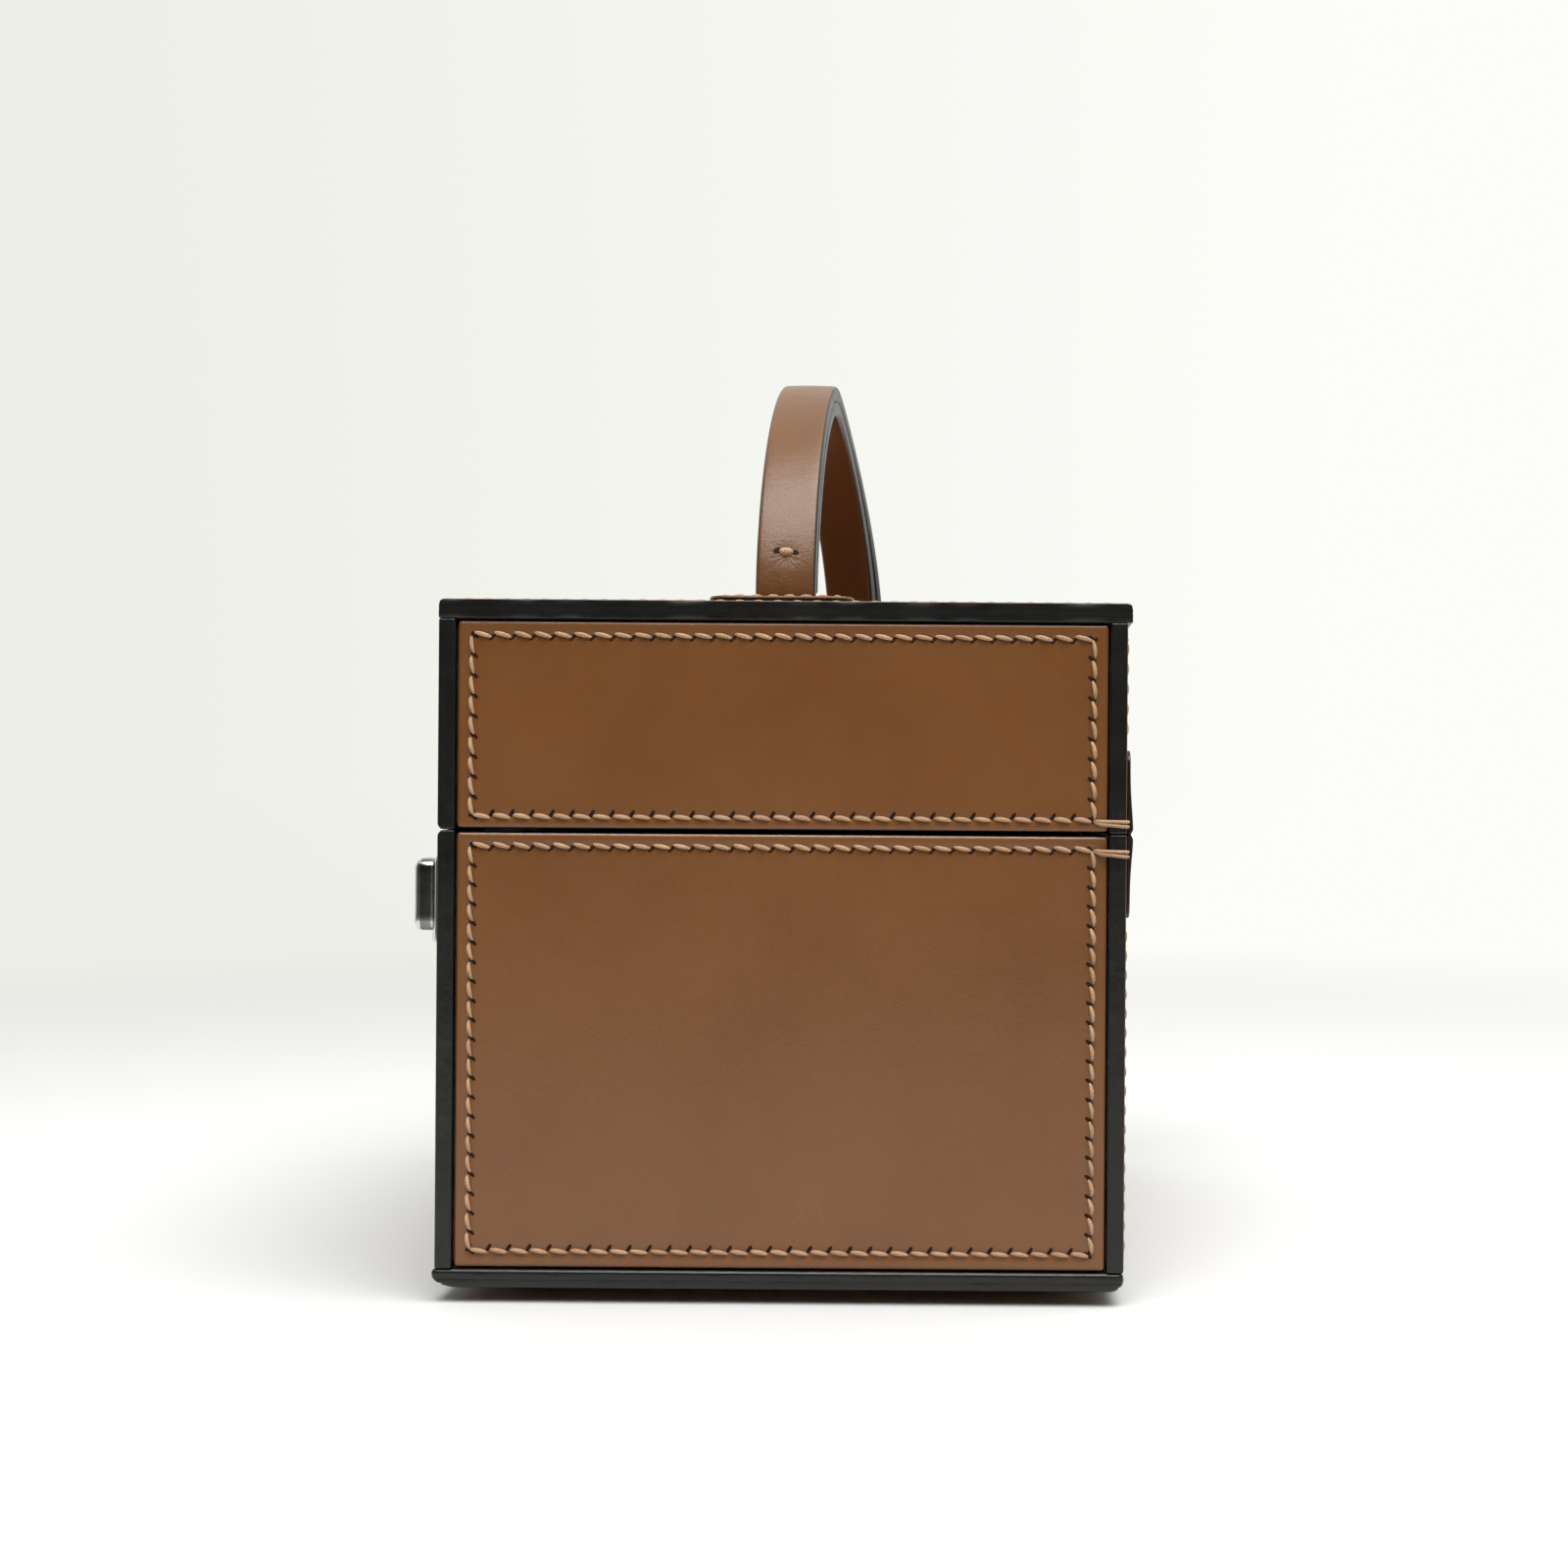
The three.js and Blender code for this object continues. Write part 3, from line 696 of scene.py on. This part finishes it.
def pad(name, outline, ways, profile, place, right, up, out, materials, slot_of=None):
    """A flat piece with a shaped rim: each profile row (inset, height) moves the outline in by the inset
    and up by the height, row by row from the seat to the top, and both ends are closed."""
    profile = np.asarray(profile, float)
    ring = outline[None] - profile[:, 0, None, None] * ways[None]
    points = (place + ring[..., 0, None] * right + ring[..., 1, None] * up
              + np.broadcast_to(profile[:, 1, None, None], ring[..., :1].shape) * out)
    rows, n = ring.shape[:2]
    quads = ring_faces(rows, n)
    bottom = np.arange(n)[None, ::-1]
    top = ((rows - 1) * n + np.arange(n))[None]
    if np.dot(np.cross(right, up), out) < 0:
        quads, bottom, top = quads[:, ::-1], bottom[:, ::-1], top[:, ::-1]
    slots = None
    if slot_of is not None:
        row_slots = np.array([slot_of(k) for k in range(rows - 1)])
        slots = np.concatenate([np.repeat(row_slots, n), [slot_of(0), slot_of(rows - 1)]])
    return store(name, points, [quads, bottom, top], materials, slots)


def rim(radius, steps=6):
    """Quarter round from the side to the top: rows of (inset, drop from the top)."""
    t = np.linspace(0, np.pi / 2, steps)
    return np.stack([radius * (1 - np.cos(t)), radius * (1 - np.sin(t))], -1)


# Panels of the box


def clear_of_band(hole):
    """Which holes of the back lie above or below the hinge band."""
    low, high = span("hinge_leaf_lower")[0][2] - 0.9, span("hinge_leaf_upper")[1][2] + 0.9
    return (hole[:, 2] < low) | (hole[:, 2] > high)


for name, node, facing, body, radius, seed in [
    ("lid_end_panel_near", "lid_end_near", "+X", "lid", END_ROUND, 0.4),
    ("lid_end_panel_far", "lid_end_far", "-X", "lid", END_ROUND, 1.9),
    ("base_end_panel_near", "base_end_near", "+X", "base", END_ROUND, 2.3),
    ("base_end_panel_far", "base_end_far", "-X", "base", END_ROUND, 3.1),
    ("lid_front_panel", "lid_front", "-Y", "lid", EDGE_ROUND, 4.2),
    ("lid_back_panel", "lid_back", "+Y", "lid", EDGE_ROUND, 5.0),
    ("base_front_panel", "base_front", "-Y", "base", EDGE_ROUND, 5.7),
    ("base_back_panel", "base_back", "+Y", "base", EDGE_ROUND, 6.6),
    ("top_panel", "lid_top", "+Z", "lid", 0.35, 7.1),
    ("bottom_panel", "base_bottom", "-Z", "base", 1.2, 8.8),
]:
    layout = panel(name, node, facing, body, radius, seed)
    keep = clear_of_band if facing == "+Y" else None
    sew_panel(name, layout, body, keep, lift=0.0 if "end" in node else -0.16)


# Hinge band


def hinge_band():
    """Leather band over the seam at the back: a box skin 0.9 mm thick whose outer face is raised by
    0.72 * exp(-(z / 8.5)^2) - 0.55 * exp(-(z / 0.75)^2), a broad swell with a crease on the seam line.
    Its corners are pulled in along quarter circles of 3 mm."""
    low, _ = span("hinge_leaf_lower")
    _, high = span("hinge_leaf_upper")
    seam = (span("hinge_leaf_lower")[1][2] + span("hinge_leaf_upper")[0][2]) / 2
    wall = span("base_back")[1][1]
    radius = 0.38
    near_seam = seam + np.linspace(-4, 4, 33)
    rows = np.concatenate([np.arange(low[2] + 1, seam - 4, 0.8), near_seam,
                           np.arange(seam + 4.4, high[2] - 1, 0.8)])
    steps = [edge_steps(low[0], high[0], radius, np.arange(low[0] + 1.5, high[0] - 1, 1.8)),
             edge_steps(wall + 0.02, wall + 0.9, radius),
             edge_steps(low[2] - 0.3, high[2] + 0.3, radius, rows)]
    points, _, place, quads, axes, _ = box_skin(steps, radius)
    z = points[:, 2] - seam
    corner = np.minimum(place[:, 0] - low[0], high[0] - place[:, 0])
    end = np.minimum(place[:, 2] - low[2], high[2] - place[:, 2])
    turn = np.clip(3.0 - end, 0, 3)
    pull = 3.0 - np.sqrt(np.maximum(9.0 - turn ** 2, 0))
    share = np.clip(1 - corner / 40, 0, 1) ** 8
    points[:, 0] -= np.sign(points[:, 0]) * pull * share
    outer = place[:, 1] > wall + 0.5
    swell = 0.72 * np.exp(-(z / 8.5) ** 2) - 0.55 * np.exp(-(z / 0.75) ** 2)
    ripple = 0.05 * np.sin(place[:, 0] / 11) * np.exp(-(z / 6) ** 2)
    points[:, 1] += np.where(outer, swell + ripple, 0)
    slots = np.where(axes == 1, 0, 1)
    piece = store("hinge_band", points, [quads], [HINGE, EDGE], slots)
    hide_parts("hinge_leaf_lower", "hinge_leaf_upper")
    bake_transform(piece)


hinge_band()


# Thread turns over the back corners


def cord_along(path, radius):
    """A tube of 8 sides along a path of points: the section's two ways come from the path's own
    direction and Z, and the radius falls to 0.6 of itself at both ends."""
    nv = 8
    run = unit(np.gradient(path, axis=0))
    side = unit(np.cross(run, Z))
    up = np.cross(side, run)
    t = np.linspace(0, 1, len(path))
    size = radius * (1 - 0.4 * np.abs(2 * t - 1) ** 6)
    angle = 2 * np.pi * np.arange(nv) / nv
    ring = np.cos(angle)[None, :, None] * side[:, None] + np.sin(angle)[None, :, None] * up[:, None]
    points = path[:, None] + size[:, None, None] * ring
    rows = len(path)
    quads = ring_faces(rows, nv)[:, ::-1]
    caps = np.stack([np.arange(nv), ((rows - 1) * nv + np.arange(nv))[::-1]])
    reach = length_along(path)
    uv = np.stack(np.broadcast_arrays(reach[:, None], (angle * radius)[None]), -1)
    return points.reshape(-1, 3), [quads, caps], uv.reshape(-1, 2)


def corner_turns():
    """Two threads side by side from the last hole of a seam row, over the wall's painted edge and round
    onto the back, at each end of the lid and of the base."""
    wall_y = span("base_back")[1][1]
    for body, offsets in (("lid", (-0.2, -1.1)), ("base", (-0.4, -1.3))):
        low, high = span(f"{body}_end_near")
        row_z = low[2] + SEAM_INSETS["lid_end"][1] if body == "lid" else high[2] - SEAM_INSETS["base_end"][0]
        last_y = high[1] - ROW_INSET
        face = high[0]
        turns = []
        for sign in (1, -1):
            for offset in offsets:
                nodes = np.array([[face - 0.3, last_y + 0.2, row_z + 0.3 * offset],
                                  [face + 1.05, last_y + 1.6, row_z + 0.75 * offset],
                                  [face + 1.05, wall_y - 0.3, row_z + 1.25 * offset],
                                  [face - 0.4, wall_y + 0.5, row_z + 1.3 * offset],
                                  [face - 2.6, wall_y + 0.35, row_z + 1.3 * offset]])
                nodes = np.insert(nodes, 2, (nodes[1] + nodes[2]) / 2, axis=0)
                t, share = np.linspace(0, 1, 14), np.linspace(0, 1, len(nodes))
                path = np.stack([np.interp(t, share, nodes[:, c]) for c in range(3)], -1)
                path[1:-1] = (path[:-2] + 2 * path[1:-1] + path[2:]) / 4
                path[:, 0] *= sign
                turns.append(cord_along(path, 0.44))
        sewn(f"corner_turns_{body}", body, turns, TAN)


corner_turns()


# Feet, latches and patches

for node in ("foot_front_near", "foot_front_far", "foot_back_near", "foot_back_far"):
    low, high = span(node)
    centre = (low + high) / 2
    wide, deep, tall = high - low
    outline, ways = round_outline(wide, deep, wide / 2 - 0.01, 12, 2)
    profile = np.concatenate([[[0.5, 0], [0.1, 0.15], [0, 0.5]], rim(1.1) * [1, -1] + [0, tall]])
    seat = np.array([centre[0], centre[1], high[2]])
    piece = pad(node.replace("foot", "round_foot"), outline, ways, profile, seat, X, Y, -Z, [RUBBER])
    dress(piece, "base", "foot_rubber", node)

for side in ("near", "far"):
    low, high = span(f"latch_plate_{side}")
    centre = (low + high) / 2
    wide, thick, tall = high - low
    plate_front = low[1]
    outline, ways = round_outline(wide, tall, 3.0)
    ramp = np.stack([np.linspace(0.9, 2.6, 5), thick - 1.1 + np.linspace(0, 1.1, 5) ** 0.9], -1)
    bevel = rim(0.9)[:4] * [1, -1] + [0, thick - 1.1]
    profile = np.concatenate([[[0, 0], [0, thick - 2.0]], bevel, ramp[1:]])
    seat = np.array([centre[0], high[1], centre[2]])
    piece = pad(f"latch_backplate_{side}", outline, ways, profile, seat, X, Z, -Y, [METAL])
    dress(piece, "base", "latch_metal", f"latch_plate_{side}")

    low, high = span(f"latch_knob_{side}")
    centre = (low + high) / 2
    outline, ways = round_outline(high[0] - low[0], high[2] - low[2], 2.6)
    thick = plate_front - low[1] + 0.4
    foot = [[0.35, 0], [0.05, 0.25], [0, 0.45]]
    profile = np.concatenate([foot, rim(1.7) * [1, -1] + [0, thick], [[2.0, thick], [2.4, thick]]])
    seat = np.array([centre[0], plate_front - 0.1, centre[2]])
    # The slider's straight side wall takes the dimmer metal copy: a painted dark reflection.
    piece = pad(f"latch_slider_{side}", outline, ways, profile, seat, X, Z, -Y, [METAL, METAL_PAINTED_DARK_REFLECTION],
                slot_of=lambda k: 1 if k == len(foot) - 1 else 0)
    dress(piece, f"knob_{side}", "latch_metal", f"latch_knob_{side}")

    low, high = span(f"handle_patch_{side}")
    centre = (low + high) / 2
    wide, deep, thick = high - low
    outline, ways = round_outline(wide, deep, 5.0, 10, 12)
    dented = np.array([[1.4, 0.03], [2.4, -0.16], [3.4, 0.02], [5, 0.04]])  # the seam's dent
    profile = np.concatenate([[[0.1, 0], [0, 0.3], [0, thick - 0.6]], rim(0.5) * [1, -1] + [0, thick],
                              dented + [0, thick]])
    seat = np.array([centre[0], centre[1], low[2]])
    piece = pad(f"sewn_patch_{side}", outline, ways, profile, seat, X, Y, Z, [STRAP, EDGE],
                slot_of=lambda k: 1 if k < 2 else 0)
    dress(piece, "lid", "strap_leather", f"handle_patch_{side}")
    ring, _ = round_outline(wide - 4.8, deep - 4.8, 3.0, 10, 30)
    ring = np.concatenate([ring, ring[:1]])
    reach = length_along(ring)
    marks = np.linspace(0, reach[-1], int(round(reach[-1] / 4.2)) + 1)
    hole = np.stack([np.interp(marks, reach, ring[:, 0]), np.interp(marks, reach, ring[:, 1])], -1)
    hole = np.concatenate([hole, np.zeros((len(hole), 1))], 1) + [centre[0], centre[1], high[2] - 0.12]
    normal = np.broadcast_to(Z, hole.shape)
    inner = unit((centre - hole) * [1, 1, 0])
    stitches = sewing(hole[:-1], hole[1:], normal[:-1], inner[:-1], slant=0.25, bulge=0.05, thick=0.5)
    sewn(f"patch_thread_{side}", "lid", [stitches], TAN)
    # Dark slit lenses at the holes: painted shade inside the awl slits.
    way = unit(unit(np.gradient(hole, axis=0)) + inner)
    seat = hole[:-1] + inner[:-1] * 0.3
    lenses = slits(seat, normal[:-1], way[:-1], long=0.9, wide=0.32, raise_by=0.12)
    sewn(f"patch_hole_shade_{side}", "lid", [lenses], HOLE_SHADE)

for side in ("near", "far"):
    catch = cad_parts[f"latch_catch_{side}"]
    catch.data.materials.clear()
    catch.data.materials.append(STEEL)


# Handle

strap_low, strap_high = span("handle_strap")
FOOT_Z = span("handle_patch_near")[1][2]
LAYER = 4.2  # thickness of one of the two layers
WIDTH = 15.0
POWER = 1.72  # of the arch: 2 is an ellipse
ARCH_A = (strap_high[0] - strap_low[0]) / 2 - LAYER - 0.15
ARCH_B = strap_high[2] - FOOT_Z - LAYER - 0.15
BODY_Y = (span("lid_top")[0][1] + span("lid_front")[0][1]) / 2 + 84.5


def arch(turn):
    """Middle surface between the two layers, as a curve: x = a * cos(t)^(2/n), z = b * sin(t)^(2/n) with
    n = POWER, near to far as t goes from 0 to pi. y leans back by 1 mm to the near foot and, by the
    power 1.8 of the share, by 6.8 mm to the far one, where the strap also turns about its own length by
    up to 24 degrees."""
    c, s = np.cos(turn), np.sin(turn)
    x = ARCH_A * np.sign(c) * np.abs(c) ** (2 / POWER)
    z = ARCH_B * np.abs(s) ** (2 / POWER)
    near, far = np.clip(x / ARCH_A, 0, 1), np.clip(-x / ARCH_A, 0, 1)
    y = BODY_Y - 1.8 + 1.0 * near + 6.8 * far ** 1.8
    return np.stack([x, y, FOOT_Z + z], -1), np.radians(24.0 * far ** 1.6)


def strap_layer(name, node, inner, outer, start, round_ends):
    """One layer of the strap: a section with rounded, painted edges carried along the arch. The section
    is a rounded rectangle with corners of 1.15 mm, crowned by 0.16 mm and 12 percent wider at the far
    foot; its two ways are the arch's outward direction and Y, turned together about the strap's length.
    Round ends draw the section in along a quarter circle of 1.3 mm."""
    lift = math.asin(min(1.0, (start / ARCH_B) ** (POWER / 2)))
    turn = lift + (math.pi - 2 * lift) * np.linspace(0, 1, 181)
    at, lean = arch(turn)
    nearby, _ = arch(np.clip(turn + 1e-3, 0, math.pi))
    before, _ = arch(np.clip(turn - 1e-3, 0, math.pi))
    run = nearby - before
    run[:, 1] = 0
    run = unit(run)
    if not round_ends:
        run[0], run[-1] = (0, 0, 1), (0, 0, -1)
    out = np.stack([run[:, 2], np.zeros(len(run)), -run[:, 0]], -1)
    turned = (lean * np.abs(run[:, 2]))[:, None]
    face_way = out * np.cos(turned) + Y * np.sin(turned)
    side_way = Y * np.cos(turned) - out * np.sin(turned)
    section, ways = round_outline(outer - inner, WIDTH, 1.15, 6, 9)
    shrink = np.zeros(len(turn))
    if round_ends:
        reach = length_along(at)
        end = np.minimum(reach, reach[-1] - reach)
        shrink = 1.3 * (1 - np.sqrt(np.clip(1 - (1 - np.clip(end / 1.3, 0, 1)) ** 2, 0, 1)))
    ring = section[None] - shrink[:, None, None] * ways[None]
    flare = 1 + 0.12 * np.clip(-at[:, 0] / ARCH_A, 0, 1) ** 3
    ring = ring * np.stack([np.ones_like(flare), flare], -1)[:, None]
    crown = 0.16 * (1 - (section[:, 1] / (WIDTH / 2)) ** 2) * np.sign(section[:, 0])
    depth = ring[..., 0] + crown[None] * (np.abs(section[:, 0]) > 1.4) + (inner + outer) / 2
    points = at[:, None] + depth[..., None] * face_way[:, None] + ring[..., 1, None] * side_way[:, None]
    rows, n = ring.shape[:2]
    quads = ring_faces(rows, n)
    caps = np.stack([np.arange(n)[::-1], (rows - 1) * n + np.arange(n)])
    edge = np.abs(ways[:, 1]) > 0.35
    slots = np.concatenate([np.tile(edge & np.roll(edge, -1), rows - 1).astype(int), [1, 1]])
    piece = store(name, points, [quads, caps], [STRAP, EDGE], slots)
    dress(piece, "lid", "strap_leather", node)
    return at, out


at, out = strap_layer("strap_outer", "handle_strap", 0.02, LAYER, 0.05, False)
strap_layer("strap_inner", "handle_grip", -LAYER, -0.02, 1.5, True)


def tack(side, sign):
    """Short level stitch across a leg, TACK_HEIGHT above the patch, with a dark lens of painted shade for the
    slit at either end.
    """
    height = at[:, 2] - FOOT_Z
    half = len(at) // 2
    pick = np.arange(half) if sign > 0 else np.arange(half, len(at))
    k = pick[np.argmin(np.abs(height[pick] - TACK_HEIGHT))]
    middle = at[k] + out[k] * (LAYER + 0.12)
    starts = (middle + np.array([0, -2.0, 0.1]))[None]
    stops = (middle + np.array([0, 2.0, -0.35]))[None]
    normal = out[k][None]
    thread = sewing(starts, stops, normal, Z[None], slant=0.1, bulge=-0.25, lift=0.2, thick=1.05)
    sewn(f"tack_thread_{side}", "lid", [thread], TAN)
    ends = np.concatenate([starts + np.array([[0, -0.25, 0.1]]), stops + np.array([[0, 0.25, 0.0]])])
    way = np.array([[0, 0.9, 0.43], [0, 0.97, -0.2]])
    lenses = slits(ends, np.repeat(normal, 2, 0), way, long=0.95, wide=1.0, raise_by=0.14)
    sewn(f"tack_hole_shade_{side}", "lid", [lenses], HOLE_SHADE)


tack("near", 1)
tack("far", -1)


# Floor, light and camera


def surroundings(p, direction):
    """Colour of the surroundings in a direction. The camera's own rays see a pale ramp along Y; all
    others meet one along X that is bright behind the bag and dim before it."""
    split = p.parts(direction)
    tones = [(0.30, (0.845, 0.855, 0.805)), (0.58, (0.975, 0.985, 0.940))]
    depths = [(0.30, (0.88, 0.89, 0.87)), (0.70, (0.035, 0.035, 0.035))]
    seen, met = (p.ramp(p.math("ADD", p.math("MULTIPLY", split[axis], 0.5), 0.5), stops)
                 for axis, stops in (("Y", tones), ("X", depths)))
    return p.blend(p.add("ShaderNodeLightPath").outputs["Is Camera Ray"], met, seen)


def pale_floor():
    """Matt pale floor that turns into the surroundings from 0.25 to 1.05 m from the middle."""
    p = Paint("pale_floor")
    at_floor = p.at()
    p.finish(p.ramp(p.noise(at_floor, 2.0, 2), [(0.3, (0.62, 0.625, 0.61)), (0.7, (0.65, 0.655, 0.645))]), 0.8,
             p.bump(p.noise(at_floor, 40, 2), 0.0002, 0.1), Specular_IOR_Level=0.15)
    fade = p.add("ShaderNodeMapRange", interpolation_type="SMOOTHSTEP")
    fade.inputs["From Min"].default_value = 0.25
    fade.inputs["From Max"].default_value = 1.05
    p.wire(p.vector("LENGTH", at_floor).outputs["Value"], fade.inputs["Value"])
    glow = p.add("ShaderNodeEmission")
    p.wire(surroundings(p, p.vector("NORMALIZE", at_floor).outputs[0]), glow.inputs["Color"])
    both = p.add("ShaderNodeMixShader")
    for place, source in enumerate((fade, p.shader, glow)):
        p.wire(source.outputs[0], both.inputs[place])
    p.wire(both.outputs[0], p.tree.nodes["Material Output"].inputs["Surface"])
    return p.holder


def studio():
    """A wide pale floor that fades into the background, one large soft light above and the camera."""
    sides = 96
    turn = 2 * np.pi * np.arange(sides) / sides
    rings = [np.stack([r * np.cos(turn), r * np.sin(turn), 0 * turn], -1) for r in (1500, 5000, 24000)]
    k = np.arange(sides)
    fan = np.stack([0 * k, 1 + k, 1 + (k + 1) % sides], -1)
    bands = [np.stack([s + k, s + sides + k, s + sides + (k + 1) % sides, s + (k + 1) % sides], -1)
             for s in (1, 1 + sides)]
    floor = store("floor", np.concatenate([[[0, 0, 0]], *rings]), [fan, *bands], [pale_floor()])

    light = bpy.data.lights.new("key_above", "AREA")
    light.shape, light.size, light.size_y, light.energy = "RECTANGLE", 1.9, 1.1, 48
    lamp = bpy.data.objects.new("key_above", light)
    bpy.context.collection.objects.link(lamp)
    lamp.location = (0.55, 0.22, 1.50)
    x, y, z = np.array([0.05, 0, 0]) - lamp.location  # towards the bag
    lamp.rotation_euler = (math.atan2(math.hypot(x, y), -z), 0, math.atan2(y, x) - math.pi / 2)

    air = Paint("studio_air", bpy.data.worlds, "Background")
    air.wire(surroundings(air, air.at("Generated")), air.shader.inputs["Color"])
    bpy.context.scene.world = air.holder

    camera = bpy.data.cameras.new("view")
    camera.sensor_width = 36
    camera.lens = 44.06
    camera.shift_x = -0.14
    camera.clip_start, camera.clip_end = 0.02, 60
    eye = bpy.data.objects.new("view", camera)
    bpy.context.collection.objects.link(eye)
    eye.location = (0.560, BODY_Y * MM + 0.0542, 0.1282)
    eye.rotation_mode = "QUATERNION"
    level = Vector((-1, 0, 0)).to_track_quat("-Z", "Y")
    eye.rotation_quaternion = level @ Quaternion((0, 0, 1), math.radians(0.42))
    scene = bpy.context.scene
    scene.camera = eye
    scene.view_settings.view_transform = "Standard"
    scene.view_settings.look = "None"


studio()
